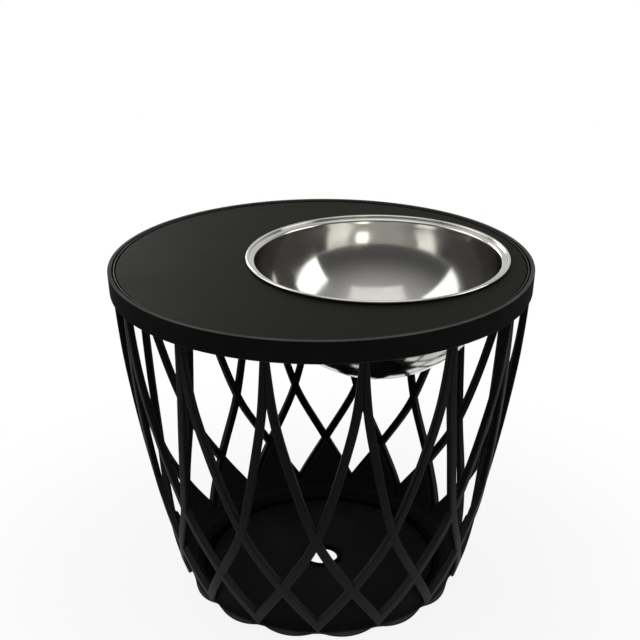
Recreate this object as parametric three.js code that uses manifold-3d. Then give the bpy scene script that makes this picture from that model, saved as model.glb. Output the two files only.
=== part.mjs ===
// Ice bucket coffee table: a lattice basket, a lift-off round top and a steel bowl hung in the top.
// Millimetres, +Z up. The origin is the centre of the footprint on the floor.
// The front is -Y, and the bowl sits off-centre towards +X.

import * as THREE from 'three';
import Module from 'manifold-3d';

const wasm = await Module();
wasm.setup();

// Units and fit clearances

const FULL_TURN = 2 * Math.PI;
const HALF = 0.5;
const DEGREE = Math.PI / 180;
const SEAT_GAP = 0.3;
const LAP_GAP = 0.3;
const MITRE_GAP = 0.15;
const WRAP_GAP = 0.4;

// Lid hoop, the band round the top. The top's two main sizes drive the rest of the table.

const RIM_RADIUS = 241;
const RIM_HEIGHT = 399;
const RIM_ROUND = 1.4;
const RIM_FLAT = 4.8;
const BAND_HEIGHT = 25;
const BAND_TAPER = 1.2;
const BAND_WALL = 3;
const LEDGE_DROP = 7;
const LEDGE_THICKNESS = 3;
const LEDGE_WIDTH = 22;

// Trim ring and tabletop panel inside the hoop

const TRIM_THICKNESS = 1.7;
const TRIM_TOP_DROP = 0.5;
const TRIM_OUTER_GAP = 1.5;
const TRIM_INNER_GAP = 1.2;
const PANEL_THICKNESS = 5.4;

// Bowl: its width and place are shares of the panel's radius, its depth a share of its own radius

const BOWL_WIDTH_SHARE = 0.6536;
const BOWL_RIGHT_SHARE = 0.2791;
const BOWL_BACK_SHARE = 0.0414;
const BOWL_DEPTH_SHARE = 0.986;
const BOWL_FLAT_SHARE = 0.296;
const BOWL_FLANGE_WIDTH = 9.5;
const BOWL_SEAT_INSET = 3.9;
const BOWL_BEAD_RADIUS = 2;
const BOWL_SHEET = 1.4;
const BOWL_OPENING_CLEARANCE = 1.5;

// Basket lattice: one step of the pattern lies between two neighbouring roots.
// Heights are shares of the height of the lid's lower edge, radii are shares of the radius at the roots.

const ROOT_COUNT = 15;
const LATTICE_TURN = -1.8 * DEGREE;
const RIB_WIDTH = 10.4;
const RIB_BACK_WIDTH = 7.4;
const RIB_DEPTH = 8;
const ROOT_INSET = 2;
const OVER_ROOT_RISE = 30;
const OVER_ROOT_SPREAD = 1.6;
const UPPER_HEIGHT_SHARE = 0.826;
const UPPER_RADIUS_SHARE = 0.9748;
const WAIST_HEIGHT_SHARE = 0.639;
const WAIST_RADIUS_SHARE = 0.9289;
const MIDDLE_HEIGHT_SHARE = 0.452;
const MIDDLE_RADIUS_SHARE = 0.8722;
const LOWER_HEIGHT_SHARE = 0.2647;
const LOWER_RADIUS_SHARE = 0.8108;
const TURN_HEIGHT_SHARE = 0.131;
const TURN_RADIUS_SHARE = 0.7611;
const TIP_HEIGHT_SHARE = 0.0545;
const TIP_RADIUS_SHARE = 0.7229;
const UNDER_TIP_HEIGHT_SHARE = 0.0054;
const UNDER_TIP_RADIUS_SHARE = 0.699;

// Sweep of a rib in steps, by height. Two families of ribs cross at half a step and at one step.

const FORK_HEIGHT_SHARE = 0.845;
const FORK_SWEEP_SHARE = 0.056;
const SPREAD_HEIGHT_SHARE = 0.7005;
const SPREAD_SWEEP_SHARE = 0.16;
const FIRST_CROSSING_HEIGHT_SHARE = 0.4;
const FIRST_CROSSING_SWEEP_SHARE = 0.5;
const SECOND_CROSSING_HEIGHT_SHARE = 0.203;
const SECOND_CROSSING_SWEEP_SHARE = 1;
const TIP_SWEEP_SHARE = 1.5;
const UNDER_TIP_SWEEP_SHARE = 1.68;
const OVER_ROOT_SWEEP_SHARE = -0.02;

// Ring that ties the rib tops together, inside the lid's skirt

const TOP_RING_WIDTH = 8;
const TOP_RING_HEIGHT = 12.5;
const RIB_HEAD_THICKNESS = 6.2;
const RIB_HEAD_BACK_CLEARANCE = 0.35;
const SKIRT_CLEARANCE = 0.6;

// Base cup: lip, foot, floor flange and petals

const CUP_WALL = 3;
const CUP_WALL_FOOT = 13;
const LIP_INSET = 8.8;
const LIP_HEIGHT = 8.6;
const LIP_ROUND_INSET = 9.4;
const LIP_ROUND_HEIGHT = 4.6;
const LIP_EDGE_INSET = 12.2;
const LIP_EDGE_HEIGHT = 1;
const SCALLOP_LIFT = 4.6;
const SCALLOP_BULGE = 1.6;
const FOOT_OUTER_INSET = 16.5;
const FOOT_INNER_INSET = 24;
const FOOT_STEP = 1.2;
const FLANGE_TOP = 5.7;
const FLANGE_FILLET_INSET = 20;
const FLANGE_FILLET_RISE = 0.5;
const FLANGE_FILLET_UPPER_INSET = 2.6;
const FLANGE_FILLET_UPPER_RISE = 3.2;

// Floor plate and the collar round its centre hole

const PLATE_RADIUS_SHARE = 0.803;
const PLATE_RING_GAP = 2.2;
const PLATE_LEDGE_WIDTH = 8;
const PLATE_LEDGE_THICKNESS = 1.4;
const PLATE_THICKNESS = 2.4;
const PLATE_EDGE_CHAMFER = 0.8;
const COLLAR_INNER_RADIUS = 18.5;
const COLLAR_WALL = 5.4;
const COLLAR_HEIGHT = 2.6;
const COLLAR_MOUTH_FLARE = 1.4;
const COLLAR_FOOT_SPREAD = 1.2;

// Facet counts

const HOOP_SEGMENT_COUNT = 72;
const BOWL_SEGMENT_COUNT = 48;
const BOWL_CURVE_POINT_COUNT = 8;
const BEAD_POINT_COUNT = 5;
const OPENING_SEGMENT_COUNT = 60;
const PLATE_SEGMENT_COUNT = 60;
const CUP_SEGMENT_COUNT_PER_HALF_STEP = 3;
const CUP_WALL_ROW_COUNT = 3;
const RIB_STATION_COUNT = 21;
const SECTOR_SEGMENT_COUNT = 12;
const SEARCH_ROUND_COUNT = 40;

// Colours and finishes

const BLACK_BAND = { color: 0x17181a, roughness: 0.5, metalness: 0 };
const BLACK_PANEL = { color: 0x2b2c2b, roughness: 0.62, metalness: 0 };
const BLACK_BASKET = { color: 0x18191a, roughness: 0.55, metalness: 0 };
const STEEL = { color: 0xc9cccf, roughness: 0.16, metalness: 1 };

const group = new THREE.Group();
group.name = 'ice_bucket_coffee_table';

function addMesh(name, geometry, look) {
  const material = new THREE.MeshStandardMaterial(look);
  material.name = name;
  const mesh = new THREE.Mesh(geometry, material);
  mesh.name = name;
  group.add(mesh);
  return mesh;
}

function geometryFrom(positions, triangles) {
  const geometry = new THREE.BufferGeometry();
  geometry.setAttribute('position', new THREE.Float32BufferAttribute(positions, 3));
  geometry.setIndex(triangles);
  geometry.computeVertexNormals();
  return geometry;
}

// Smooth monotone curve through height stations, used for the basket's profile and for the sweep

function stationCurve(stations) {
  const count = stations.length;
  const slopes = [];
  for (let i = 0; i + 1 < count; i += 1) {
    slopes.push((stations[i + 1][1] - stations[i][1]) / (stations[i + 1][0] - stations[i][0]));
  }
  const tangents = [slopes[0]];
  for (let i = 1; i + 1 < count; i += 1) {
    const before = slopes[i - 1];
    const after = slopes[i];
    tangents.push(before * after > 0 ? (2 * before * after) / (before + after) : 0);
  }
  tangents.push(slopes[count - 2]);
  return (height) => {
    let i = 0;
    while (i + 2 < count && height > stations[i + 1][0]) {
      i += 1;
    }
    const span = stations[i + 1][0] - stations[i][0];
    const share = (height - stations[i][0]) / span;
    const rest = 1 - share;
    const startValue = stations[i][1] * (1 + 2 * share) * rest * rest;
    const endValue = stations[i + 1][1] * (1 + 2 * rest) * share * share;
    const startSlope = tangents[i] * span * share * rest * rest;
    const endSlope = tangents[i + 1] * span * share * share * rest;
    return startValue + endValue + startSlope - endSlope;
  };
}

const bandFoot = RIM_HEIGHT - BAND_HEIGHT;
const bandFootRadius = RIM_RADIUS - BAND_TAPER;
const rootRadius = bandFootRadius - ROOT_INSET;
const tipRadius = rootRadius * TIP_RADIUS_SHARE;

const basketRadius = stationCurve([
  [bandFoot * UNDER_TIP_HEIGHT_SHARE, rootRadius * UNDER_TIP_RADIUS_SHARE],
  [bandFoot * TIP_HEIGHT_SHARE, tipRadius],
  [bandFoot * TURN_HEIGHT_SHARE, rootRadius * TURN_RADIUS_SHARE],
  [bandFoot * LOWER_HEIGHT_SHARE, rootRadius * LOWER_RADIUS_SHARE],
  [bandFoot * MIDDLE_HEIGHT_SHARE, rootRadius * MIDDLE_RADIUS_SHARE],
  [bandFoot * WAIST_HEIGHT_SHARE, rootRadius * WAIST_RADIUS_SHARE],
  [bandFoot * UPPER_HEIGHT_SHARE, rootRadius * UPPER_RADIUS_SHARE],
  [bandFoot, rootRadius],
  [bandFoot + OVER_ROOT_RISE, rootRadius + OVER_ROOT_SPREAD],
]);

const sweepSteps = stationCurve([
  [bandFoot * UNDER_TIP_HEIGHT_SHARE, UNDER_TIP_SWEEP_SHARE],
  [bandFoot * TIP_HEIGHT_SHARE, TIP_SWEEP_SHARE],
  [bandFoot * SECOND_CROSSING_HEIGHT_SHARE, SECOND_CROSSING_SWEEP_SHARE],
  [bandFoot * FIRST_CROSSING_HEIGHT_SHARE, FIRST_CROSSING_SWEEP_SHARE],
  [bandFoot * SPREAD_HEIGHT_SHARE, SPREAD_SWEEP_SHARE],
  [bandFoot * FORK_HEIGHT_SHARE, FORK_SWEEP_SHARE],
  [bandFoot, 0],
  [bandFoot + OVER_ROOT_RISE, OVER_ROOT_SWEEP_SHARE],
]);

const STEP_ANGLE = FULL_TURN / ROOT_COUNT;

// Height where the sweep reaches a given number of steps

function heightAtSweep(steps) {
  let low = bandFoot * UNDER_TIP_HEIGHT_SHARE;
  let high = bandFoot;
  for (let round = 0; round < SEARCH_ROUND_COUNT; round += 1) {
    const middle = HALF * (low + high);
    if (sweepSteps(middle) > steps) {
      low = middle;
    } else {
      high = middle;
    }
  }
  return HALF * (low + high);
}

// Solid of revolution from a closed outline of [radius, height] points in counter-clockwise order.
// An optional shape function moves each point with the angle.

function revolve(outline, segments, reshape) {
  const positions = [];
  const triangles = [];
  const count = outline.length;
  for (let s = 0; s < segments; s += 1) {
    const angle = (s / segments) * FULL_TURN;
    for (let p = 0; p < count; p += 1) {
      const [radius, height] = reshape ? reshape(outline[p], p, angle) : outline[p];
      positions.push(radius * Math.cos(angle), radius * Math.sin(angle), height);
    }
  }
  for (let s = 0; s < segments; s += 1) {
    const next = (s + 1) % segments;
    for (let p = 0; p < count; p += 1) {
      const q = (p + 1) % count;
      const a = s * count + p;
      const b = s * count + q;
      const c = next * count + q;
      const d = next * count + p;
      triangles.push(a, d, c, a, c, b);
    }
  }
  return { positions, triangles };
}

// Part of a solid of revolution between two angles, closed by flat ends

function revolveSector(outline, startAngle, endAngle, segments) {
  const positions = [];
  const triangles = [];
  const count = outline.length;
  for (let s = 0; s <= segments; s += 1) {
    const angle = startAngle + (s / segments) * (endAngle - startAngle);
    for (const [radius, height] of outline) {
      positions.push(radius * Math.cos(angle), radius * Math.sin(angle), height);
    }
  }
  for (let s = 0; s < segments; s += 1) {
    for (let p = 0; p < count; p += 1) {
      const q = (p + 1) % count;
      const a = s * count + p;
      const b = s * count + q;
      const c = (s + 1) * count + q;
      const d = (s + 1) * count + p;
      triangles.push(a, d, c, a, c, b);
    }
  }
  const contour = outline.map(([radius, height]) => new THREE.Vector2(radius, height));
  const endBase = segments * count;
  for (const [a, b, c] of THREE.ShapeUtils.triangulateShape(contour, [])) {
    triangles.push(a, b, c);
    triangles.push(endBase + a, endBase + c, endBase + b);
  }
  return { positions, triangles };
}

function solidFrom({ positions, triangles }) {
  const mesh = new wasm.Mesh({
    numProp: 3,
    vertProperties: new Float32Array(positions),
    triVerts: new Uint32Array(triangles),
  });
  return new wasm.Manifold(mesh);
}

function geometryOfSolid(solid) {
  const mesh = solid.getMesh();
  return geometryFrom(Array.from(mesh.vertProperties), Array.from(mesh.triVerts));
}

function addRevolved(name, outline, segments, look, reshape) {
  const { positions, triangles } = revolve(outline, segments, reshape);
  return addMesh(name, geometryFrom(positions, triangles), look);
}

// Lid hoop: tapered wall with a flat top edge and an inner ledge

const ledgeTop = RIM_HEIGHT - LEDGE_DROP;
const ledgeUnder = ledgeTop - LEDGE_THICKNESS;
const rimInner = RIM_RADIUS - RIM_FLAT;
const skirtInner = bandFootRadius - BAND_WALL;
const wallUnderLedge = skirtInner + (BAND_TAPER / BAND_HEIGHT) * (ledgeUnder - bandFoot);

addRevolved(
  'lid_band',
  [
    [skirtInner, bandFoot],
    [bandFootRadius, bandFoot],
    [RIM_RADIUS, RIM_HEIGHT - RIM_ROUND],
    [RIM_RADIUS - RIM_ROUND, RIM_HEIGHT],
    [rimInner, RIM_HEIGHT],
    [rimInner, ledgeTop],
    [rimInner - LEDGE_WIDTH, ledgeTop],
    [rimInner - LEDGE_WIDTH, ledgeUnder],
    [wallUnderLedge, ledgeUnder],
  ],
  HOOP_SEGMENT_COUNT,
  BLACK_BAND,
);

// Thin trim ring standing on the ledge

const trimOuter = rimInner - TRIM_OUTER_GAP;
const trimInner = trimOuter - TRIM_THICKNESS;
const trimTop = RIM_HEIGHT - TRIM_TOP_DROP;

addRevolved(
  'panel_trim_ring',
  [
    [trimInner, ledgeTop + SEAT_GAP],
    [trimOuter, ledgeTop + SEAT_GAP],
    [trimOuter, trimTop],
    [trimInner, trimTop],
  ],
  HOOP_SEGMENT_COUNT,
  BLACK_BAND,
);

// Tabletop panel with the round opening for the bowl

const panelRadius = trimInner - TRIM_INNER_GAP;
const panelUnder = ledgeTop + SEAT_GAP;
const panelTop = panelUnder + PANEL_THICKNESS;
const bowlRadius = panelRadius * BOWL_WIDTH_SHARE;
const bowlCentreX = panelRadius * BOWL_RIGHT_SHARE;
const bowlCentreY = panelRadius * BOWL_BACK_SHARE;
const bodyRadius = bowlRadius - BOWL_FLANGE_WIDTH;
const openingRadius = bodyRadius + BOWL_OPENING_CLEARANCE;

function circlePoints(centreX, centreY, radius, segments) {
  const points = [];
  for (let s = 0; s < segments; s += 1) {
    const angle = (s / segments) * FULL_TURN;
    points.push(new THREE.Vector2(
      centreX + radius * Math.cos(angle),
      centreY + radius * Math.sin(angle),
    ));
  }
  return points;
}

const panelShape = new THREE.Shape(circlePoints(0, 0, panelRadius, HOOP_SEGMENT_COUNT));
panelShape.holes.push(new THREE.Path(
  circlePoints(bowlCentreX, bowlCentreY, openingRadius, OPENING_SEGMENT_COUNT),
));
const panelGeometry = new THREE.ExtrudeGeometry(panelShape, {
  depth: PANEL_THICKNESS,
  bevelEnabled: false,
  steps: 1,
});
addMesh('lid_panel', panelGeometry, BLACK_PANEL).position.z = panelUnder;

// Bowl: rolled bead, sloping flange that rests on the panel, deep rounded body

const bowlSeat = panelTop + SEAT_GAP;
const bodyTop = bowlSeat;
const beadCentreRadius = bowlRadius - BOWL_BEAD_RADIUS;
const seatRadius = bowlRadius - BOWL_SEAT_INSET;
const beadCentreHeight = bowlSeat + BOWL_BEAD_RADIUS;

function bowlCurve(inset) {
  const radius = bodyRadius - inset;
  const depth = bodyRadius * BOWL_DEPTH_SHARE - inset;
  const flat = bodyRadius * BOWL_FLAT_SHARE - inset;
  const flatAngle = Math.asin(flat / radius);
  const points = [];
  for (let i = 0; i < BOWL_CURVE_POINT_COUNT; i += 1) {
    const angle = flatAngle + (i / (BOWL_CURVE_POINT_COUNT - 1)) * (FULL_TURN / 4 - flatAngle);
    points.push([radius * Math.sin(angle), bodyTop - depth * Math.cos(angle)]);
  }
  return points;
}

const bowlOutside = bowlCurve(0);
const bowlInside = bowlCurve(BOWL_SHEET).reverse();
const bead = [];
for (let i = 0; i < BEAD_POINT_COUNT; i += 1) {
  const angle = -FULL_TURN / 4 + (i / (BEAD_POINT_COUNT - 1)) * (FULL_TURN / 2);
  bead.push([
    beadCentreRadius + BOWL_BEAD_RADIUS * Math.cos(angle),
    beadCentreHeight + BOWL_BEAD_RADIUS * Math.sin(angle),
  ]);
}
const bowlOutline = [
  [0, bowlOutside[0][1]],
  ...bowlOutside,
  [seatRadius, bowlSeat],
  ...bead,
  [seatRadius, bowlSeat + BOWL_SHEET],
  ...bowlInside,
  [0, bowlInside[bowlInside.length - 1][1]],
];

// Lathe solid whose outline starts and ends on the axis

function latheOnAxis(outline, segments) {
  const points = outline.map(([radius, height]) => new THREE.Vector2(radius, height));
  const geometry = new THREE.LatheGeometry(points, segments);
  geometry.rotateX(FULL_TURN / 4);
  return geometry;
}

const bowl = addMesh('ice_bowl', latheOnAxis(bowlOutline, BOWL_SEGMENT_COUNT), STEEL);
bowl.position.set(bowlCentreX, bowlCentreY, 0);

// Ring that ties the rib tops

const topRingTop = ledgeUnder - SEAT_GAP;
const topRingFoot = topRingTop - TOP_RING_HEIGHT;
const ribHeadOuter = skirtInner - SKIRT_CLEARANCE;
const ribHeadBack = ribHeadOuter - RIB_HEAD_THICKNESS;
const topRingOuter = ribHeadBack - RIB_HEAD_BACK_CLEARANCE;

addRevolved(
  'basket_top_ring',
  [
    [topRingOuter - TOP_RING_WIDTH, topRingFoot],
    [topRingOuter, topRingFoot],
    [topRingOuter, topRingTop],
    [topRingOuter - TOP_RING_WIDTH, topRingTop],
  ],
  HOOP_SEGMENT_COUNT,
  BLACK_BASKET,
);

// Outline of the basket's surface: a point, its outward normal in the radius and height plane

function surfaceAt(height) {
  const radius = basketRadius(height);
  const slope = (basketRadius(height + 1) - basketRadius(height - 1)) * HALF;
  const length = Math.hypot(1, slope);
  return { radius, normalOut: 1 / length, normalUp: -slope / length };
}

// Rib swept along the basket's surface. side is +1 for ribs that run to the right, -1 to the left.
// The section lies between two depths under the surface, and grow widens it on each flank.

function sweptRib(side, shallow, deep, grow) {
  const positions = [];
  const triangles = [];
  const section = [[shallow, -1], [shallow, 1], [deep, 1], [deep, -1]];
  const corners = section.length;
  const startHeight = heightAtSweep(TIP_SWEEP_SHARE) - RIB_WIDTH;
  const endHeight = topRingTop + RIB_DEPTH;
  for (let i = 0; i < RIB_STATION_COUNT; i += 1) {
    const height = startHeight + (i / (RIB_STATION_COUNT - 1)) * (endHeight - startHeight);
    const { radius, normalOut, normalUp } = surfaceAt(height);
    const angle = side * sweepSteps(height) * STEP_ANGLE;
    const turn = side * (sweepSteps(height + 1) - sweepSteps(height - 1)) * HALF * STEP_ANGLE;
    const outward = new THREE.Vector3(Math.cos(angle), Math.sin(angle), 0);
    const around = new THREE.Vector3(-Math.sin(angle), Math.cos(angle), 0);
    const normal = outward.clone().multiplyScalar(normalOut);
    normal.z = normalUp;
    const rise = new THREE.Vector3(0, 0, 1).addScaledVector(outward, -normalUp / normalOut);
    const along = rise.addScaledVector(around, turn * radius).normalize();
    const across = new THREE.Vector3().crossVectors(normal, along).normalize();
    const centre = outward.clone().multiplyScalar(radius);
    centre.z = height;
    for (const [depth, sign] of section) {
      const share = depth / RIB_DEPTH;
      const half = HALF * (RIB_WIDTH + share * (RIB_BACK_WIDTH - RIB_WIDTH)) + grow;
      const corner = centre.clone().addScaledVector(normal, -depth).addScaledVector(across, sign * half);
      positions.push(corner.x, corner.y, corner.z);
    }
  }
  for (let i = 0; i + 1 < RIB_STATION_COUNT; i += 1) {
    for (let k = 0; k < corners; k += 1) {
      const a = i * corners + k;
      const b = i * corners + ((k + 1) % corners);
      const c = b + corners;
      const d = a + corners;
      triangles.push(a, c, b, a, d, c);
    }
  }
  const last = (RIB_STATION_COUNT - 1) * corners;
  triangles.push(0, 1, 2, 0, 2, 3);
  triangles.push(last, last + 2, last + 1, last, last + 3, last + 2);
  return solidFrom({ positions, triangles });
}

// Space a rib may fill: over the cup's lip, under the lid's skirt, round the top ring

const lipRadius = tipRadius - LIP_INSET;
const footInner = tipRadius - FOOT_INNER_INSET;
const ribReach = RIM_RADIUS + RIB_WIDTH;
const ribCore = footInner;
const cupDepth = RIB_DEPTH + SEAT_GAP;
const [wallFootRadius, wallFootHeight] = cupWallPoint(CUP_WALL_FOOT, 0);
const ribSpace = [
  [ribCore, wallFootHeight + WRAP_GAP],
  [wallFootRadius + WRAP_GAP, wallFootHeight + WRAP_GAP],
  [lipRadius + WRAP_GAP, LIP_HEIGHT + WRAP_GAP],
  [ribReach, LIP_HEIGHT + WRAP_GAP],
  [ribReach, bandFoot - SEAT_GAP],
  [ribHeadOuter, bandFoot - SEAT_GAP],
  [ribHeadOuter, topRingTop],
  [ribHeadBack, topRingTop],
  [ribHeadBack, topRingFoot - WRAP_GAP],
  [ribCore, topRingFoot - WRAP_GAP],
];

function ribSector(side, mitre) {
  const trim = mitre / tipRadius;
  const low = trim;
  const high = TIP_SWEEP_SHARE * STEP_ANGLE - trim;
  const start = side > 0 ? low : -high;
  const end = side > 0 ? high : -low;
  return solidFrom(revolveSector(ribSpace, start, end, SECTOR_SEGMENT_COUNT));
}

function turned(solid, steps) {
  return solid.rotate([0, 0, (steps * STEP_ANGLE) / DEGREE]);
}

// Half-lap joints: the right-hand ribs keep their outer half where they cross,
// the left-hand ribs keep their inner half

const halfDepth = HALF * RIB_DEPTH;
const lapOverrun = RIB_WIDTH;
const rightSector = ribSector(1, MITRE_GAP);
const leftSector = ribSector(-1, MITRE_GAP);
const rightWhole = sweptRib(1, 0, RIB_DEPTH, 0).intersect(rightSector);
const leftWhole = sweptRib(-1, 0, RIB_DEPTH, 0).intersect(leftSector);
const outerLap = sweptRib(1, -lapOverrun, halfDepth + HALF * LAP_GAP, LAP_GAP)
  .intersect(ribSector(1, 0));
const innerLap = sweptRib(-1, halfDepth - HALF * LAP_GAP, RIB_DEPTH + lapOverrun, LAP_GAP)
  .intersect(ribSector(-1, 0));

const rightRib = rightWhole
  .subtract(turned(innerLap, 1))
  .subtract(turned(innerLap, 2));
const leftRib = leftWhole
  .subtract(turned(outerLap, -1))
  .subtract(turned(outerLap, -2));

// Angle from +X of the root with the given index, counted from the front

function rootAngle(index) {
  return -FULL_TURN / 4 + LATTICE_TURN + (index + HALF) * STEP_ANGLE;
}

const rightRibGeometry = geometryOfSolid(rightRib);
const leftRibGeometry = geometryOfSolid(leftRib);

function twoDigits(value) {
  return String(value).padStart(2, '0');
}

for (let index = 0; index < ROOT_COUNT; index += 1) {
  const label = twoDigits(index + 1);
  addMesh(`rib_right_${label}`, rightRibGeometry.clone(), BLACK_BASKET)
    .rotation.z = rootAngle(index);
  addMesh(`rib_left_${label}`, leftRibGeometry.clone(), BLACK_BASKET)
    .rotation.z = rootAngle(index);
}

// Base cup: floor flange, flat foot ring, scalloped lip and a wall whose upper edge runs up
// behind the ribs into one petal under each second crossing

function cupWallPoint(height, inset) {
  const { radius, normalOut, normalUp } = surfaceAt(height);
  const depth = cupDepth + inset;
  return [radius - depth * normalOut, height - depth * normalUp];
}

// Share of the half-step between a petal's centre and the notch beside it, from 0 to 1

function notchShare(angle) {
  const fromRoot = (angle - rootAngle(0)) / STEP_ANGLE;
  const nearest = Math.round(fromRoot);
  return Math.min(1, Math.abs(fromRoot - nearest) / HALF);
}

function cupEdgeHeight(angle) {
  const towardsTip = notchShare(angle) * (TIP_SWEEP_SHARE - SECOND_CROSSING_SWEEP_SHARE);
  return heightAtSweep(SECOND_CROSSING_SWEEP_SHARE + towardsTip);
}

// The lip is lowest and fullest under a petal, and rises towards the notch beside it

function scallopLift(angle) {
  return SCALLOP_LIFT * notchShare(angle) ** 2;
}

function scallopBulge(angle) {
  return SCALLOP_BULGE * (1 - notchShare(angle) ** 2);
}

const plateRadius = tipRadius * PLATE_RADIUS_SHARE;
const plateRecess = plateRadius + PLATE_RING_GAP;
const ledgeInner = plateRecess - PLATE_LEDGE_WIDTH;
const plateSeat = FOOT_STEP + PLATE_LEDGE_THICKNESS;

const cupRows = [];
cupRows.push(() => [ledgeInner, FOOT_STEP]);
cupRows.push(() => [footInner - FOOT_STEP, FOOT_STEP]);
cupRows.push(() => [footInner, 0]);
cupRows.push((angle) => [tipRadius - FOOT_OUTER_INSET + scallopBulge(angle), 0]);
cupRows.push((angle) => [
  tipRadius - LIP_EDGE_INSET + scallopBulge(angle),
  LIP_EDGE_HEIGHT + scallopLift(angle),
]);
cupRows.push((angle) => [
  tipRadius - LIP_ROUND_INSET,
  LIP_ROUND_HEIGHT + HALF * scallopLift(angle),
]);
cupRows.push(() => [lipRadius, LIP_HEIGHT]);
for (let row = 0; row <= CUP_WALL_ROW_COUNT; row += 1) {
  cupRows.push((angle) => {
    const top = cupEdgeHeight(angle);
    const height = CUP_WALL_FOOT + (row / CUP_WALL_ROW_COUNT) * (top - CUP_WALL_FOOT);
    return cupWallPoint(height, 0);
  });
}
for (let row = CUP_WALL_ROW_COUNT; row >= 0; row -= 1) {
  cupRows.push((angle) => {
    const top = cupEdgeHeight(angle);
    const height = CUP_WALL_FOOT + (row / CUP_WALL_ROW_COUNT) * (top - CUP_WALL_FOOT);
    return cupWallPoint(height, CUP_WALL);
  });
}
cupRows.push(() => [
  tipRadius - FLANGE_FILLET_INSET + FLANGE_FILLET_UPPER_INSET,
  FLANGE_TOP + FLANGE_FILLET_RISE + FLANGE_FILLET_UPPER_RISE,
]);
cupRows.push(() => [tipRadius - FLANGE_FILLET_INSET, FLANGE_TOP + FLANGE_FILLET_RISE]);
cupRows.push(() => [plateRecess, FLANGE_TOP]);
cupRows.push(() => [plateRecess, plateSeat]);
cupRows.push(() => [ledgeInner, plateSeat]);

const cupSegments = 2 * ROOT_COUNT * CUP_SEGMENT_COUNT_PER_HALF_STEP;
const cupMesh = addRevolved(
  'base_cup',
  cupRows.map((row) => row(rootAngle(0))),
  cupSegments,
  BLACK_BASKET,
  (point, index, angle) => cupRows[index](angle + rootAngle(0)),
);
cupMesh.rotation.z = rootAngle(0);

// Floor plate with a collared centre hole

const plateUnder = plateSeat + SEAT_GAP;
const plateTop = plateUnder + PLATE_THICKNESS;
const collarTop = plateTop + COLLAR_HEIGHT;
const collarOuter = COLLAR_INNER_RADIUS + COLLAR_WALL;

addRevolved(
  'floor_plate',
  [
    [COLLAR_INNER_RADIUS, plateUnder],
    [plateRadius, plateUnder],
    [plateRadius, plateTop - PLATE_EDGE_CHAMFER],
    [plateRadius - PLATE_EDGE_CHAMFER, plateTop],
    [collarOuter + COLLAR_FOOT_SPREAD, plateTop],
    [collarOuter, plateTop + COLLAR_FOOT_SPREAD],
    [collarOuter, collarTop],
    [COLLAR_INNER_RADIUS + COLLAR_MOUTH_FLARE, collarTop],
  ],
  PLATE_SEGMENT_COUNT,
  BLACK_BASKET,
);

export default group;
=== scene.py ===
"""Ice bucket coffee table: a moulded lattice basket, a lift-off round top and a steel bowl in it.

Metres, +Z up, origin at the centre of the footprint. The front is -Y.
"""

import math

import bmesh
import bpy
from mathutils import Matrix, Vector


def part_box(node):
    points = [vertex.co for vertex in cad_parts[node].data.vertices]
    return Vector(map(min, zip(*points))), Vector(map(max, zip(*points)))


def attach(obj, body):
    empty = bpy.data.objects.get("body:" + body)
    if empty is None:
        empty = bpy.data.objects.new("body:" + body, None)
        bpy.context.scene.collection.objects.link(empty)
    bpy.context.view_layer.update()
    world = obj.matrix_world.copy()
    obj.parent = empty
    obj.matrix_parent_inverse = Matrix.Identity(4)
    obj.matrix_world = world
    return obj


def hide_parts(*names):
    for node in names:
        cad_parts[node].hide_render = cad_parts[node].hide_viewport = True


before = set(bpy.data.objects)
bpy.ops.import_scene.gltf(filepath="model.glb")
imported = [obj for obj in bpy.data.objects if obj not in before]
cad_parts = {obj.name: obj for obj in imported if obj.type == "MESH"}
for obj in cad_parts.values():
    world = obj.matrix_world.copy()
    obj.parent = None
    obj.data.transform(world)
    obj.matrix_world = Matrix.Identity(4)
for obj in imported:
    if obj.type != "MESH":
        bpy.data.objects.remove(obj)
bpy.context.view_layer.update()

MM = 0.001
FULL_TURN = 2 * math.pi
QUARTER_TURN = 0.25 * FULL_TURN
Z_AXIS = Vector((0, 0, 1))
ORIGIN = Vector()

# Sizes read from the frame

band_low, band_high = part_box("lid_band")
trim_low, trim_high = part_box("panel_trim_ring")
panel_low, panel_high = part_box("lid_panel")
bowl_low, bowl_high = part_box("ice_bowl")
ring_low, ring_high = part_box("basket_top_ring")
plate_low, plate_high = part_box("floor_plate")
bowl_centre = 0.5 * (bowl_low + bowl_high)
bowl_centre.z = 0

RIM_RADIUS = band_high.x
RIM_TOP = band_high.z
BAND_FOOT = band_low.z

# Mesh making: what counts as one point, as level and as sharp, and how corners are cut

MERGE_DISTANCE = 1e-6
CUT_DISTANCE = 1e-7
SAME_PLACE = 0.01 * MM
LEVEL = 0.99
SMOOTH_ANGLE = 0.6
SHARP_ANGLE = 1.0
CORNER_SEGMENTS = 4
WIDE_CORNER_SEGMENTS = 5
SMALL_CORNER_SEGMENTS = 3

# Narrow strips that keep flat faces flat in the shading beside a rounded edge

HOLD_WIDTH = 0.4 * MM
HOLD_FROM = 2.5 * MM

# Lid hoop

BAND_TAPER = 1.2 * MM
BAND_WALL = 3 * MM
SKIRT_LEAN = 0.6 * MM
RIM_FLAT = 4.8 * MM
LEDGE_THICKNESS = 3 * MM
LEDGE_WIDTH = 22 * MM
PANEL_SEAT = 0.3 * MM
RIM_ROUND = 0.9 * MM
HEM_ROUND = 1.3 * MM
HEM_INNER_ROUND = 0.9 * MM
INNER_ROUND = 0.7 * MM
HOOP_STEPS = 216

# Trim ring and panel

TRIM_THICKNESS = 1.7 * MM
TRIM_ROUND = 0.7 * MM
PANEL_EDGE_ROUND = 0.6 * MM
OPENING_GAP = 8 * MM
PANEL_STEPS = 192

# Bowl

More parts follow.
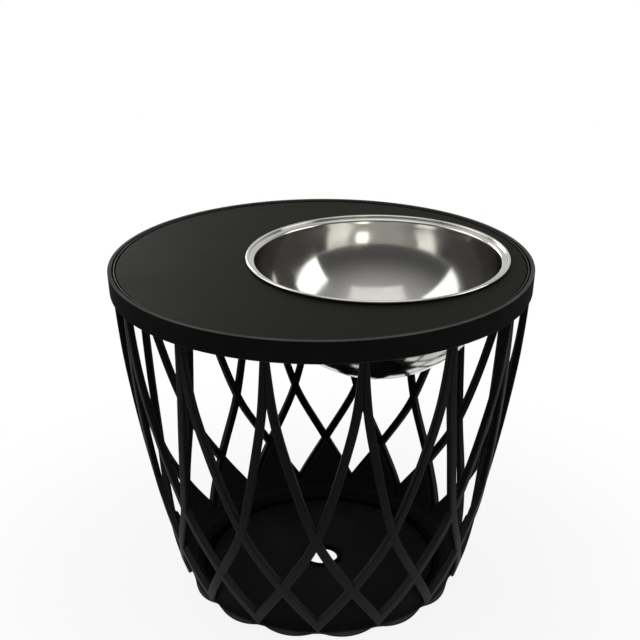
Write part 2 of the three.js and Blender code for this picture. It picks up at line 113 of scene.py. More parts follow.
BEAD_RADIUS = 2 * MM
BOWL_FLANGE = 9.5 * MM
BOWL_RADIUS = 0.5 * (bowl_high.x - bowl_low.x)
BODY_RADIUS = BOWL_RADIUS - BOWL_FLANGE
BOWL_SEAT = bowl_high.z - 2 * BEAD_RADIUS
BOWL_SHEET = 1.2 * MM
BOWL_SHOULDER = 2.6 * MM
BOWL_FLAT_SHARE = 0.296
BOWL_STEPS = 192
BOWL_ARC_STEPS = 120
BEAD_STEPS = 16

# Basket lattice

ROOT_COUNT = 15
STEP_ANGLE = FULL_TURN / ROOT_COUNT
LATTICE_TURN = math.radians(-1.8)
ROOT_INSET = 2 * MM
ROOT_RADIUS = RIM_RADIUS - BAND_TAPER - ROOT_INSET
RIB_WIDTH = 10.4 * MM
RIB_BACK_WIDTH = 7.4 * MM
RIB_DEPTH = 8 * MM
RIB_ROUND = 1.8 * MM
RIB_BACK_ROUND = 1 * MM
RIB_CROWN = 0.3 * MM
RIB_FLAT_FROM = 2 * MM
RIB_FLAT_CUTS = 5
RIB_SPREAD_SHARE = 0.16
RIB_SPREAD_TOP = 200 * MM
RIB_STATIONS = 60
RIB_PRESS_GAP = 0.03 * MM
RIB_END = 3 * MM
GROOVE_ROUND = 1.2 * MM
TIP_SWEEP = 1.5
HEAD_DEPTH = 6.2 * MM
HEAD_INSET = 1.6 * MM
HEAD_DROP = 0.3 * MM
TOP_RING_WIDTH = 8 * MM
TOP_RING_ROUND = 1.2 * MM

# Shares of the height of the lid's lower edge, with shares of the radius at the roots

PROFILE_STATIONS = (
    (0.0054, 0.699),
    (0.0545, 0.7229),
    (0.131, 0.7611),
    (0.2647, 0.8108),
    (0.452, 0.8722),
    (0.639, 0.9289),
    (0.826, 0.9748),
    (1.0, 1.0),
    (1.08, 1.0068),
)

# Shares of the same height, with the sweep of a rib in steps between two roots

SWEEP_STATIONS = (
    (0.0054, 1.68),
    (0.0545, 1.5),
    (0.203, 1.0),
    (0.4, 0.5),
    (0.7005, 0.16),
    (0.845, 0.056),
    (1.0, 0.0),
    (1.08, -0.02),
)
HALVINGS = 40

# Base cup, inward from the radius of the rib tips

TIP_RADIUS = ROOT_RADIUS * PROFILE_STATIONS[1][1]
CUP_FACE_DEPTH = 7.6 * MM
CUP_BACK_DEPTH = 11.3 * MM
CUP_WALL_FOOT = 13 * MM
CUP_EDGE_CAP = 1.8 * MM
LIP_INSET = 8.8 * MM
LIP_HEIGHT = 8.6 * MM
LIP_ROUND_INSET = 9.4 * MM
LIP_ROUND_HEIGHT = 4.6 * MM
LIP_EDGE_INSET = 12.2 * MM
LIP_EDGE_HEIGHT = 1 * MM
FOOT_OUTER_INSET = 16.5 * MM
FOOT_INNER_INSET = 24 * MM
FOOT_STEP = 1.2 * MM
SCALLOP_LIFT = 4.6 * MM
SCALLOP_BULGE = 1.6 * MM
TOE_BULGE = 5 * MM
TOE_SHOULDER_BULGE = 1.4 * MM
TOE_EDGE = 1.5 * MM
FOOT_INNER = TIP_RADIUS - FOOT_INNER_INSET
FOOT_OUTER = TIP_RADIUS - FOOT_OUTER_INSET + SCALLOP_BULGE
LIP_EDGE = TIP_RADIUS - LIP_EDGE_INSET + TOE_BULGE
LIP_SHOULDER = TIP_RADIUS - LIP_ROUND_INSET + TOE_SHOULDER_BULGE
FLANGE_TOP = 5.7 * MM
FLANGE_FILLET_INSET = 20 * MM
FLANGE_FILLET = 4 * MM
PLATE_RECESS_GAP = 2.2 * MM
PLATE_LEDGE_WIDTH = 8 * MM
PLATE_LEDGE_THICKNESS = 1.4 * MM
CUP_ROUND = 0.5 * MM
CUP_FOOT_ROUND = 1 * MM
LIP_ROUND = 1 * MM
LIP_SHOULDER_ROUND = 2 * MM
CUP_STEPS_PER_HALF_STEP = 8
CUP_WALL_ROWS = 14

# Floor plate

COLLAR_INNER_RADIUS = 18.5 * MM
COLLAR_WALL = 5.4 * MM
COLLAR_HEIGHT = 2.6 * MM
COLLAR_FLARE = 1.4 * MM
COLLAR_ROUND = 0.96 * MM
COLLAR_FOOT_ROUND = 1.2 * MM
PLATE_ROUND = 0.6 * MM
PLATE_TOP_ROUND = 0.84 * MM
PLATE_STEPS = 144

# Finishes. A facing range says how far a surface turns one way, from hardly to fully

WHITE = (1, 1, 1, 1)
# Black of the painted shade
SHADE_BLACK = (0.0006, 0.0006, 0.0006, 1)
STEEL_CLEAN = (0.6, 0.59, 0.555, 1)
STEEL_SMUDGED = (0.49, 0.48, 0.45, 1)
SHEET_TINT = (1, 0.99, 0.88, 1)
# Paler tone, partly dust and partly painted light: on faces that look up, low down, and on the
# cup's lip
DUST_AND_LIGHT_FACING_UP = (0.1, 0.7)
DUST_AND_LIGHT_LOW_DOWN = 0.75
DUST_AND_LIGHT_ON_TOPS = 0.7
DUST_AND_LIGHT_HIGH_UP = 0.25
DUST_AND_LIGHT_EDGE = 4 * MM
DUST_AND_LIGHT_PAST_LIP = 1.5 * MM
# Painted shade in rings: round the plate's recess, round the collar and at the plate's edge
SHADE_RING_FULL = 0.9
SHADE_RING_EDGE = 2 * MM
RECESS_SHADE = 8 * MM
# Painted shade, deep black, on faces turned to the basket's axis
SHADE_FACING_IN = (0.05, 0.45)
# Paler top, partly wear and partly painted highlight, and a painted highlight along the hem
RUBBED_AND_LIT_FACING_UP = (0.35, 0.9)
HEM_HIGHLIGHT_START = 0.3 * MM
MOULD_WAVE_DEPTH = 0.6 * MM
MOULD_GRAIN_DEPTH = 0.35 * MM
PEBBLE_DEPTH = 0.3 * MM
SHEET_GRAIN_DEPTH = 0.25 * MM
TURNED_LINE_DEPTH = 0.3 * MM

# Colour sockets of the Mix node, by their places on the node

MIX_FIRST = 6
MIX_SECOND = 7
MIX_RESULT = 2

# Floor: white, with the shadow fading into it away from the table

FLOOR_HALF = 8
FLOOR_DROP = 0.4 * MM
FLOOR_WHITE = (0.82, 0.82, 0.82, 1)
GLOW_SHARE = 0.88
SHADOW_FADE_START = 0.25
SHADOW_FADE_END = 0.6

# World: its light, and how bright gloss sees the room, the ceiling and the sweep behind

WORLD_LIGHT = 0.32
ROOM_GLOSS = 0.1
CEILING_START = 0.3
CEILING_GLOSS = 0.6
SWEEP_GLOSS = 0.75
SWEEP_START = -0.2
SWEEP_END = 0.75

# Lamps: name, place, size in metres and power in watts

LAMPS = (
    ("key_left", (-1.9, 0.5, 1.6), 1.7, 15),
    ("back_left", (-0.9, 1.9, 1.1), 0.8, 9),
    ("fill_right", (2.0, -0.3, 1.0), 1.3, 11),
    ("top", (0.0, -0.4, 2.5), 2.2, 9),
)
LAMP_AIM = Vector((0, 0, 0.25))

# Camera, taken from the photograph: the lens is in pixels of a frame 640 pixels wide

CAMERA_PLACE = Vector((-0.0015, -1.3611, 0.8741))
CAMERA_DOWN = math.radians(22)
CAMERA_ROLL = math.radians(-0.2)
FRAME_PIXELS = 640
LENS_PIXELS = 1264.7
SENSOR_WIDTH = 36


# Mesh helpers


def ramp(value, start, end):
    """0 at start, 1 at end, held outside them."""
    return min(1, max(0, (value - start) / (end - start)))


def close_and_orient(bm):
    bmesh.ops.remove_doubles(bm, verts=bm.verts, dist=MERGE_DISTANCE)
    bmesh.ops.recalc_face_normals(bm, faces=bm.faces)


def finish_piece(bm, name, body, node, material):
    """Turns a bmesh into a shown piece that stands for a CAD node."""
    close_and_orient(bm)
    for face in bm.faces:
        face.smooth = True
    for edge in bm.edges:
        if len(edge.link_faces) == 2 and edge.calc_face_angle() > SMOOTH_ANGLE:
            edge.smooth = False
    mesh = bpy.data.meshes.new(name)
    bm.to_mesh(mesh)
    bm.free()
    mesh.materials.append(material)
    piece = bpy.data.objects.new(name, mesh)
    bpy.context.scene.collection.objects.link(piece)
    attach(piece, body)
    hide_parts(node)


def round_off(bm, parts, affect, rounding, segments):
    """Rounds the corners of an outline, or the edges of a shell."""
    bmesh.ops.bevel(
        bm,
        geom=parts,
        offset=rounding,
        offset_type="OFFSET",
        affect=affect,
        segments=segments,
        profile=0.5,
        material=-1,
        clamp_overlap=False,
    )


def round_corners(bm, verts, corners, segments):
    """Rounds the vertices of an outline as the last number of their corners says."""
    for vert, (_, _, rounding) in zip(verts, corners):
        if rounding:
            round_off(bm, [vert], "VERTICES", rounding, segments)


def hold_flats(bm):
    """Splits long outline edges near both ends, so the shading of a rounding stays there."""
    for edge in bm.edges[:]:
        near, far = edge.verts
        if edge.calc_length() > HOLD_FROM:
            _, held = bmesh.utils.edge_split(edge, near, HOLD_WIDTH / edge.calc_length())
            rest = next(part for part in held.link_edges if far in part.verts)
            bmesh.utils.edge_split(rest, far, HOLD_WIDTH / rest.calc_length())


def spin_outline(bm, steps):
    """Turns every edge of the bmesh round the upright axis into a closed shell."""
    bmesh.ops.delete(bm, geom=bm.faces[:], context="FACES_ONLY")
    bmesh.ops.spin(
        bm,
        geom=bm.verts[:] + bm.edges[:],
        cent=ORIGIN,
        axis=Z_AXIS,
        angle=FULL_TURN,
        steps=steps,
        use_merge=True,
    )
    close_and_orient(bm)


def turned_shell(corners, steps):
    """A shell turned from (radius, height, rounding) corners, rounded one by one."""
    bm = bmesh.new()
    verts = [bm.verts.new((radius, 0, height)) for radius, height, _ in corners]
    bm.faces.new(verts)
    round_corners(bm, verts, corners, CORNER_SEGMENTS)
    hold_flats(bm)
    spin_outline(bm, steps)
    return bm


# Curves of the basket


def station_curve(stations, height_unit, value_unit=1.0):
    """A smooth monotone curve through stations, as a function of the height."""
    points = [(share * height_unit, value * value_unit) for share, value in stations]
    slopes = [(b[1] - a[1]) / (b[0] - a[0]) for a, b in zip(points, points[1:])]
    tangents = [slopes[0]]
    for before, after in zip(slopes, slopes[1:]):
        tangents.append(2 * before * after / (before + after) if before * after > 0 else 0)
    tangents.append(slopes[-1])

    def value_at(height):
        i = 0
        while i + 2 < len(points) and height > points[i + 1][0]:
            i += 1
        span = points[i + 1][0] - points[i][0]
        share = (height - points[i][0]) / span
        rest = 1 - share
        start = points[i][1] * (1 + 2 * share) * rest * rest
        end = points[i + 1][1] * (1 + 2 * rest) * share * share
        bend = tangents[i] * share * rest * rest - tangents[i + 1] * share * share * rest
        return start + end + bend * span

    return value_at


basket_radius = station_curve(PROFILE_STATIONS, BAND_FOOT, ROOT_RADIUS)
sweep_steps = station_curve(SWEEP_STATIONS, BAND_FOOT)


def slope_at(curve, height):
    """How much a curve changes per metre of height."""
    return (curve(height + MM) - curve(height - MM)) / (2 * MM)


def height_at_sweep(steps):
    """The height at which a rib has swept this far, found by halving."""
    low, high = 0.0, BAND_FOOT
    for _ in range(HALVINGS):
        middle = 0.5 * (low + high)
        if sweep_steps(middle) > steps:
            low = middle
        else:
            high = middle
    return 0.5 * (low + high)


def surface_normal(height):
    """Outward part and upward part of the basket surface's normal."""
    slope = slope_at(basket_radius, height)
    length = math.hypot(1, slope)
    return 1 / length, -slope / length


def root_angle(index):
    return -QUARTER_TURN + LATTICE_TURN + (index + 0.5) * STEP_ANGLE


# Shader helpers


class Field:
    """A node's output, a value over a surface. Arithmetic on it adds Math nodes."""

    def __init__(self, nodes, socket):
        self.nodes = nodes
        self.socket = socket

    def math(self, operation, *others):
        values = dict(enumerate((self, *others)))
        return self.nodes.add("ShaderNodeMath", {"operation": operation}, values)

    def __add__(self, other):
        return self.math("ADD", other)

    __radd__ = __add__

    def __mul__(self, other):
        return self.math("MULTIPLY", other)

    __rmul__ = __mul__

    def __sub__(self, other):
        return self.math("SUBTRACT", other)

    def __rsub__(self, other):
        return (self * -1) + other

    def between(self, low, high):
        """0 at low, 1 at high, smooth between them."""
        return self.nodes.add(
            "ShaderNodeMapRange",
            {"interpolation_type": "SMOOTHSTEP"},
            {"Value": self, "From Min": low, "From Max": high},
            "Result",
        )

    def beside(self, output):
        """Another output of the same node."""
        return Field(self.nodes, self.socket.node.outputs[output])


class NodeSet:
    """The nodes of one material or world under construction."""

    def __init__(self, owner):
        owner.use_nodes = True
        self.tree = owner.node_tree
        self.tree.nodes.clear()

    def add(self, kind, settings=None, inputs=None, output=0):
        """A node of a type: its settings first, then the values or links of its sockets."""
        node = self.tree.nodes.new(kind)
        for key, value in (settings or {}).items():
            setattr(node, key, value)
        for key, value in (inputs or {}).items():
            if isinstance(value, Field):
                self.tree.links.new(value.socket, node.inputs[key])
            else:
                node.inputs[key].default_value = value
        return Field(self, node.outputs[output]) if node.outputs else None

    def parts(self, vector):
        """X, Y and Z of a vector."""
        split = self.add("ShaderNodeSeparateXYZ", None, {"Vector": vector})
        return [split.beside(axis) for axis in "XYZ"]

    def seen_by(self, *kinds):
        """1 to rays of any of these kinds, 0 to the others."""
        first, *others = [f"Is {kind} Ray" for kind in kinds]
        seen = path = self.add("ShaderNodeLightPath", output=first)
        for name in others:
            seen = seen.math("MAXIMUM", path.beside(name))
        return seen


class Finish(NodeSet):
    """One material under construction."""

    def __init__(self, name):
        self.material = bpy.data.materials.new(name)
        super().__init__(self.material)

    def place(self, centre=(0, 0, 0), scale=(1, 1, 1)):
        """Object coordinates, centred and stretched."""
        here = self.add("ShaderNodeTexCoord", output="Object")
        return self.add(
            "ShaderNodeMapping",
            {"vector_type": "TEXTURE"},
            {"Vector": here, "Location": centre, "Scale": scale},
        )

    def normal_parts(self):
        return self.parts(self.add("ShaderNodeTexCoord", output="Normal"))

    def upward(self):
        """Upward part of the surface's normal."""
        return self.normal_parts()[2]

    def inward(self, x, y, radius):
        """How far the surface turns towards the basket's axis, from -1 to 1."""
        normal_x, normal_y, _ = self.normal_parts()
        return (normal_x * x + normal_y * y).math("DIVIDE", radius) * -1

    def noise(self, where, scale, detail=3.0, roughness=0.55):
        return self.add(
            "ShaderNodeTexNoise",
            {"noise_dimensions": "3D"},
            {"Vector": where, "Scale": scale, "Detail": detail, "Roughness": roughness},
        )

    def patches(self, where, scale, low, high, detail=3.0, roughness=0.55):
        """Noise cut into soft patches: 0 where it is below low, 1 where it is above high."""
        return self.noise(where, scale, detail, roughness).between(low, high)

    def colour_mix(self, share, first, second):
        inputs = {"Factor": share, MIX_FIRST: first, MIX_SECOND: second}
        return self.add("ShaderNodeMix", {"data_type": "RGBA"}, inputs, MIX_RESULT)

    def bump(self, height, strength, distance, before=None):
        inputs = {"Height": height, "Strength": strength, "Distance": distance}
        if before is not None:
            inputs["Normal"] = before
        return self.add("ShaderNodeBump", None, inputs, "Normal")

    def show(self, shader):
        """Makes a shader the material's surface."""
        self.add("ShaderNodeOutputMaterial", None, {"Surface": shader})
        return self.material

    def close(self, **sockets):
        """Ends the material with one principled shader."""
        inputs = {key.replace("_", " "): value for key, value in sockets.items()}
        return self.show(self.add("ShaderNodeBsdfPrincipled", None, inputs))


# Finishes


def moulded_plastic(
    name,
    colour,
    pale,
    roughness,
    grain,
    gloss,
    dust_and_light=None,
    dust_and_light_top=0.0,
    dust_and_light_full=0.0,
    dust_and_light_from=0.0,
    shade_rings=(),
    inside_shade=0.0,
):
    """Black moulded plastic: fine spark-eroded grain and slow flow shades. A paler tone,
    partly dust and partly painted light, lies on what faces up and thickens towards the
    ground. Painted shade darkens rings, each from an inner to an outer radius. Faces turned
    to the axis get painted shade, deep black."""
    finish = Finish(name)
    place = finish.place()
    drawn_up = finish.place(scale=(1, 1, 6))
    flow = finish.patches(place, scale=9.0, low=0.3, high=0.75, detail=4.0)
    fine = finish.noise(place, scale=1500.0, detail=2.0)
    cloud = finish.patches(place, scale=46.0, low=0.35, high=0.8, detail=5.0, roughness=0.65)
    scuff = finish.patches(drawn_up, scale=240.0, low=0.62, high=0.8, detail=6.0, roughness=0.7)
    tint = finish.colour_mix(flow * 0.55 + cloud * 0.3 + scuff * 0.25, colour, pale)
    x, y, z = finish.parts(place)
    radius = (x * x + y * y).math("SQRT")
    # Paler tone, partly dust and partly painted light, on upward faces and towards the ground
    if dust_and_light:
        low = z.between(dust_and_light_top, dust_and_light_full)
        lying = finish.upward().between(*DUST_AND_LIGHT_FACING_UP)
        share = low * DUST_AND_LIGHT_LOW_DOWN + lying * DUST_AND_LIGHT_ON_TOPS * (DUST_AND_LIGHT_HIGH_UP + low)
        reach = radius.between(dust_and_light_from - DUST_AND_LIGHT_EDGE, dust_and_light_from)
        tint = finish.colour_mix(share * (cloud * 0.3 + 0.8) * reach, tint, dust_and_light)
    # Painted shade darkens each ring
    for inner, outer in shade_rings:
        within = radius.between(outer + SHADE_RING_EDGE, outer)
        ring = radius.between(inner - SHADE_RING_EDGE, inner) * within
        tint = finish.colour_mix(ring * (SHADE_RING_FULL - cloud * 0.2), tint, SHADE_BLACK)
    # Painted shade on faces turned to the axis
    if inside_shade:
        facing_in = finish.inward(x, y, radius).between(*SHADE_FACING_IN)
        tint = finish.colour_mix(facing_in * inside_shade, tint, SHADE_BLACK)
    waves = finish.bump(cloud, strength=0.25, distance=MOULD_WAVE_DEPTH)
    return finish.close(
        Base_Color=tint,
        Roughness=flow * 0.08 + cloud * 0.07 - scuff * 0.1 + roughness,
        Normal=finish.bump(fine, grain, MOULD_GRAIN_DEPTH, before=waves),
        Specular_IOR_Level=gloss,
    )


def powder_coat(name, colour, pale, worn_and_lit, roughness, gloss, hem=-1.0):
    """Satin powder coat: a soft pebbled skin and faint handling marks. It is paler on top,
    partly wear and partly a painted highlight, and a painted highlight runs along a lower hem at
    the given height."""
    finish = Finish(name)
    place = finish.place()
    flattened = finish.place(scale=(1, 1, 0.12))
    pebble = finish.noise(place, scale=620.0, detail=2.0, roughness=0.4)
    cloud = finish.patches(place, scale=14.0, low=0.3, high=0.75, detail=4.0)
    marks = finish.patches(flattened, scale=90.0, low=0.6, high=0.85, detail=5.0, roughness=0.7)
    chips = finish.patches(place, scale=420.0, low=0.68, high=0.74, detail=4.0, roughness=0.75)
    # Paler top, partly wear and partly painted highlight, with chips; a painted highlight along
    # the hem
    rubbed_and_lit = finish.upward().between(*RUBBED_AND_LIT_FACING_UP) * (cloud * 0.35 + marks * 0.3 + 0.5)
    height = finish.parts(place)[2]
    hem_highlight = height.between(hem + HEM_ROUND, hem) * (cloud * 0.3 + marks * 0.3 + 0.1)
    tint = finish.colour_mix(cloud * 0.5 + marks * 0.35, colour, pale)
    tint = finish.colour_mix(rubbed_and_lit + chips * rubbed_and_lit * 0.6 + hem_highlight, tint, worn_and_lit)
    return finish.close(
        Base_Color=tint,
        Roughness=cloud * 0.07 + marks * 0.1 - rubbed_and_lit * 0.12 + roughness,
        Normal=finish.bump(pebble, strength=0.3, distance=PEBBLE_DEPTH),
        Specular_IOR_Level=gloss,
    )


def matt_laminate(name, colour, pale):
    """Matt tabletop sheet: a fine even grain, cloudy wiping marks and slightly worn patches."""
    finish = Finish(name)
    place = finish.place()
    drawn_across = finish.place(scale=(3.2, 1, 1))
    grain = finish.noise(place, scale=2100.0, detail=3.0, roughness=0.6)
    cloud = finish.patches(place, scale=7.0, low=0.3, high=0.72, detail=5.0, roughness=0.6)
    wiped = finish.patches(
        drawn_across, scale=32.0, low=0.45, high=0.8, detail=6.0, roughness=0.65
    )
    speck = finish.patches(place, scale=900.0, low=0.66, high=0.74, detail=2.0)
    return finish.close(
        Base_Color=finish.colour_mix(cloud * 0.4 + wiped * 0.25 + speck * 0.35, colour, pale),
        Roughness=cloud * 0.05 + wiped * 0.06 + 0.48,
        Normal=finish.bump(grain, strength=0.22, distance=SHEET_GRAIN_DEPTH),
        Specular_IOR_Level=0.02,
        Specular_Tint=SHEET_TINT,
    )


def polished_steel(name, centre):
    """Polished sheet steel with faint turned lines round the bowl's own axis."""
    finish = Finish(name)
    place = finish.place(centre=centre)
    x, y, z = finish.parts(place)
    radius = (x * x + y * y).math("SQRT")
    section = finish.add("ShaderNodeCombineXYZ", None, {"X": radius, "Y": z, "Z": 0.0})
    rings = finish.noise(section, scale=1300.0, detail=3.0, roughness=0.7)
    broad_rings = finish.noise(section, scale=120.0, detail=2.0)
    smudge = finish.patches(place, scale=16.0, low=0.42, high=0.78, detail=5.0, roughness=0.6)
    lines = rings * 0.3 + broad_rings
    return finish.close(
        Base_Color=finish.colour_mix(smudge * 0.5, STEEL_CLEAN, STEEL_SMUDGED),
        Metallic=1.0,
        Roughness=rings * 0.07 + smudge * 0.09 + 0.07,
        Normal=finish.bump(lines, strength=0.035, distance=TURNED_LINE_DEPTH),
    )


# Ribs and tie ring: dust and painted light make upward faces and low ribs paler; painted shade
# darkens faces turned to the axis
basket_plastic = moulded_plastic(
    "basket_plastic",
    (0.004, 0.0041, 0.0043, 1),
    (0.0082, 0.0084, 0.0087, 1),
    roughness=0.5,
    grain=0.2,
    gloss=0.05,
    dust_and_light=(0.031, 0.031, 0.031, 1),
    dust_and_light_top=0.24,
    inside_shade=0.92,
)
# Cup: dust and a painted highlight make the toe of the lip paler; painted shade darkens a ring
# round the plate's recess
cup_plastic = moulded_plastic(
    "cup_plastic",
    (0.0066, 0.0067, 0.0069, 1),
    (0.0128, 0.013, 0.0134, 1),
    roughness=0.72,
    grain=0.25,
    gloss=0.02,
    dust_and_light=(0.068, 0.068, 0.067, 1),
    dust_and_light_top=8.8 * MM,
    dust_and_light_full=5.6 * MM,
    dust_and_light_from=TIP_RADIUS - LIP_EDGE_INSET - DUST_AND_LIGHT_PAST_LIP,
    shade_rings=((plate_high.x, plate_high.x + RECESS_SHADE),),
)
# Plate: painted shade darkens rings round the collar and at its edge
plate_plastic = moulded_plastic(
    "plate_plastic",
    (0.0068, 0.0069, 0.0071, 1),
    (0.013, 0.0132, 0.0136, 1),
    roughness=0.7,
    grain=0.3,
    gloss=0.02,
    shade_rings=(
        (COLLAR_INNER_RADIUS, COLLAR_INNER_RADIUS + COLLAR_WALL),
        (plate_high.x - MM, plate_high.x),
    ),
)
# Hoop: paler top, partly wear and partly painted highlight, and a painted highlight along the hem
band_coat = powder_coat(
    "band_coat",
    (0.0072, 0.0072, 0.007, 1),
    (0.012, 0.012, 0.0115, 1),
    (0.125, 0.124, 0.116, 1),
    roughness=0.75,
    gloss=0.01,
    hem=BAND_FOOT + HEM_HIGHLIGHT_START,
)
# Trim ring: paler top, partly wear and partly painted highlight
trim_coat = powder_coat(
    "trim_coat",
    (0.005, 0.005, 0.0048, 1),
    (0.009, 0.009, 0.0086, 1),
    (0.045, 0.0445, 0.04, 1),
    roughness=0.42,
    gloss=0.05,
)
panel_sheet = matt_laminate(
    "panel_sheet",
    (0.0098, 0.0098, 0.0069, 1),
    (0.0164, 0.0164, 0.0116, 1),
)
bowl_steel = polished_steel("bowl_steel", tuple(bowl_centre))


# Lid hoop, with a rolled lower hem and a ledge inside that carries the ring and the panel


def build_lid_band():
    foot_radius = RIM_RADIUS - BAND_TAPER
    skirt_inner = foot_radius - BAND_WALL
    ledge_top = panel_low.z - PANEL_SEAT
    ledge_under = ledge_top - LEDGE_THICKNESS
    rim_inner = RIM_RADIUS - RIM_FLAT
    bm = turned_shell(
        [
            (skirt_inner, BAND_FOOT, HEM_INNER_ROUND),
            (foot_radius, BAND_FOOT, HEM_ROUND),
            (RIM_RADIUS, RIM_TOP, RIM_ROUND),
            (rim_inner, RIM_TOP, INNER_ROUND),
            (rim_inner, ledge_top, INNER_ROUND),
            (rim_inner - LEDGE_WIDTH, ledge_top, INNER_ROUND),
            (rim_inner - LEDGE_WIDTH, ledge_under, INNER_ROUND),
            (skirt_inner + SKIRT_LEAN, ledge_under, INNER_ROUND),
        ],
        HOOP_STEPS,
    )
    finish_piece(bm, "hoop_band", "top", "lid_band", band_coat)


def build_trim_ring():
    outer = trim_high.x
    inner = outer - TRIM_THICKNESS
    bm = turned_shell(
        [
            (inner, trim_low.z, 0),
            (outer, trim_low.z, 0),
            (outer, trim_high.z, TRIM_ROUND),
            (inner, trim_high.z, TRIM_ROUND),
        ],
        HOOP_STEPS,
    )
    finish_piece(bm, "trim_ring", "top", "panel_trim_ring", trim_coat)


def build_panel():
    bm = bmesh.new()
    for radius, centre in ((panel_high.x, ORIGIN), (BOWL_RADIUS - OPENING_GAP, bowl_centre)):
        bmesh.ops.create_circle(
            bm,
            segments=PANEL_STEPS,
            radius=radius,
            matrix=Matrix.Translation(centre + Z_AXIS * panel_low.z),
        )
    bmesh.ops.bridge_loops(bm, edges=bm.edges[:])
    grown = bmesh.ops.extrude_face_region(bm, geom=bm.faces[:], use_keep_orig=True)
    lifted = [part for part in grown["geom"] if isinstance(part, bmesh.types.BMVert)]
    bmesh.ops.translate(bm, verts=lifted, vec=Z_AXIS * (panel_high.z - panel_low.z))
    bmesh.ops.recalc_face_normals(bm, faces=bm.faces)
    rims = [edge for edge in bm.edges if edge.calc_face_angle(0) > SHARP_ANGLE]
    round_off(bm, rims, "EDGES", PANEL_EDGE_ROUND, SMALL_CORNER_SEGMENTS)
    bm.normal_update()
    bmesh.ops.inset_region(
        bm,
        faces=[face for face in bm.faces if face.normal.z > LEVEL],
        thickness=HOLD_WIDTH,
        use_even_offset=True,
        use_boundary=True,
    )
    finish_piece(bm, "table_panel", "top", "lid_panel", panel_sheet)


# Bowl: an arc of an ellipse with a flat bottom and a flange, turned and made a sheet, with
# a rolled bead on the flange's rim


def on_shoulder(vert):
    """Whether a vertex lies where the bowl's body meets its flange."""
    off_seat = abs(vert.co.z - BOWL_SEAT)
    off_body = abs(vert.co.xy.length - BODY_RADIUS)
    return off_seat < SAME_PLACE and off_body < SAME_PLACE


def turned_bead(upright):
    """The rolled rim, as a mesh of its own."""
    bm = bmesh.new()
    middle = Vector((BOWL_RADIUS - BEAD_RADIUS, 0, BOWL_SEAT + BEAD_RADIUS))
    bmesh.ops.create_circle(
        bm,
        segments=BEAD_STEPS,
        radius=BEAD_RADIUS,
        matrix=Matrix.Translation(middle) @ upright,
    )
    spin_outline(bm, BOWL_STEPS)
    mesh = bpy.data.meshes.new("bowl_bead")
    bm.to_mesh(mesh)
    bm.free()
    return mesh


def build_bowl():
    depth = BOWL_SEAT - bowl_low.z
    flat = BODY_RADIUS * BOWL_FLAT_SHARE
    arc_depth = depth / math.sqrt(1 - BOWL_FLAT_SHARE**2)
    upright = Matrix.Rotation(QUARTER_TURN, 4, "X")
    stretch = Matrix.Diagonal((BODY_RADIUS, 1, arc_depth, 1))
    seat = Z_AXIS * BOWL_SEAT
    bm = bmesh.new()
    bmesh.ops.create_circle(bm, segments=BOWL_ARC_STEPS, radius=1)
    to_seat = Matrix.Translation(seat) @ stretch @ upright
    bmesh.ops.transform(bm, verts=bm.verts, matrix=to_seat)
    for place, outside in ((Vector((flat, 0, 0)), Vector((-1, 0, 0))), (seat, Z_AXIS)):
        bmesh.ops.bisect_plane(
            bm,
            geom=bm.verts[:] + bm.edges[:],
            plane_co=place,
            plane_no=outside,
            clear_outer=True,
        )
    low_end = min(bm.verts, key=lambda vert: vert.co.z)
    top_end = max(bm.verts, key=lambda vert: vert.co.z)
    for end, radius in ((low_end, 0), (top_end, BOWL_RADIUS - BEAD_RADIUS)):
        made = bmesh.ops.extrude_vert_indiv(bm, verts=[end])
        shift = Vector((radius - end.co.x, 0, 0))
        bmesh.ops.translate(bm, verts=made["verts"], vec=shift)
    spin_outline(bm, BOWL_STEPS)
    shoulder = [edge for edge in bm.edges if all(on_shoulder(vert) for vert in edge.verts)]
    round_off(bm, shoulder, "EDGES", BOWL_SHOULDER, WIDE_CORNER_SEGMENTS)
    half_way = BOWL_SEAT - 0.5 * depth
    if any(f.normal.z > LEVEL and f.calc_center_median().z < half_way for f in bm.faces):
        bmesh.ops.reverse_faces(bm, faces=bm.faces)
    bmesh.ops.solidify(bm, geom=bm.faces[:], thickness=BOWL_SHEET)
    bead = turned_bead(upright)
    bm.from_mesh(bead)
    bpy.data.meshes.remove(bead)
    bmesh.ops.translate(bm, verts=bm.verts, vec=bowl_centre)
    finish_piece(bm, "steel_bowl", "bowl", "ice_bowl", bowl_steel)


# Basket ribs: one rounded section swept from the lid down to a tip on the cup's lip.
# The flank towards the other rib of a pair is pressed against it until the two part.


def rib_section(bm):
    """A rounded, slightly crowned section: across along X, from the face inwards along Y."""
    half, back = 0.5 * RIB_WIDTH, 0.5 * RIB_BACK_WIDTH
    corners = (
        (-half, 0, RIB_ROUND),
        (half, 0, RIB_ROUND),
        (back, RIB_DEPTH, RIB_BACK_ROUND),
        (-back, RIB_DEPTH, RIB_BACK_ROUND),
    )
    verts = [bm.verts.new((across, depth, 0)) for across, depth, _ in corners]
    bm.faces.new(verts)
    round_corners(bm, verts, corners, SMALL_CORNER_SEGMENTS)
    flats = [edge for edge in bm.edges if edge.calc_length() > RIB_FLAT_FROM]
    bmesh.ops.subdivide_edges(bm, edges=flats, cuts=RIB_FLAT_CUTS)
    bmesh.ops.dissolve_faces(bm, faces=bm.faces[:], use_verts=False)
    for vert in bm.verts:
        towards_back = vert.co.y > 0.5 * RIB_DEPTH
        fall = RIB_CROWN * (vert.co.x / half) ** 2
        vert.co.y += -fall if towards_back else fall
    bm.faces.ensure_lookup_table()
    return bm.faces[0]


def placed(across, normal, along, place):
    """The matrix that puts a section at a place: across, inwards and along the rib."""
    matrix = Matrix((across, -normal, along)).transposed().to_4x4()
    matrix.translation = place
    return matrix


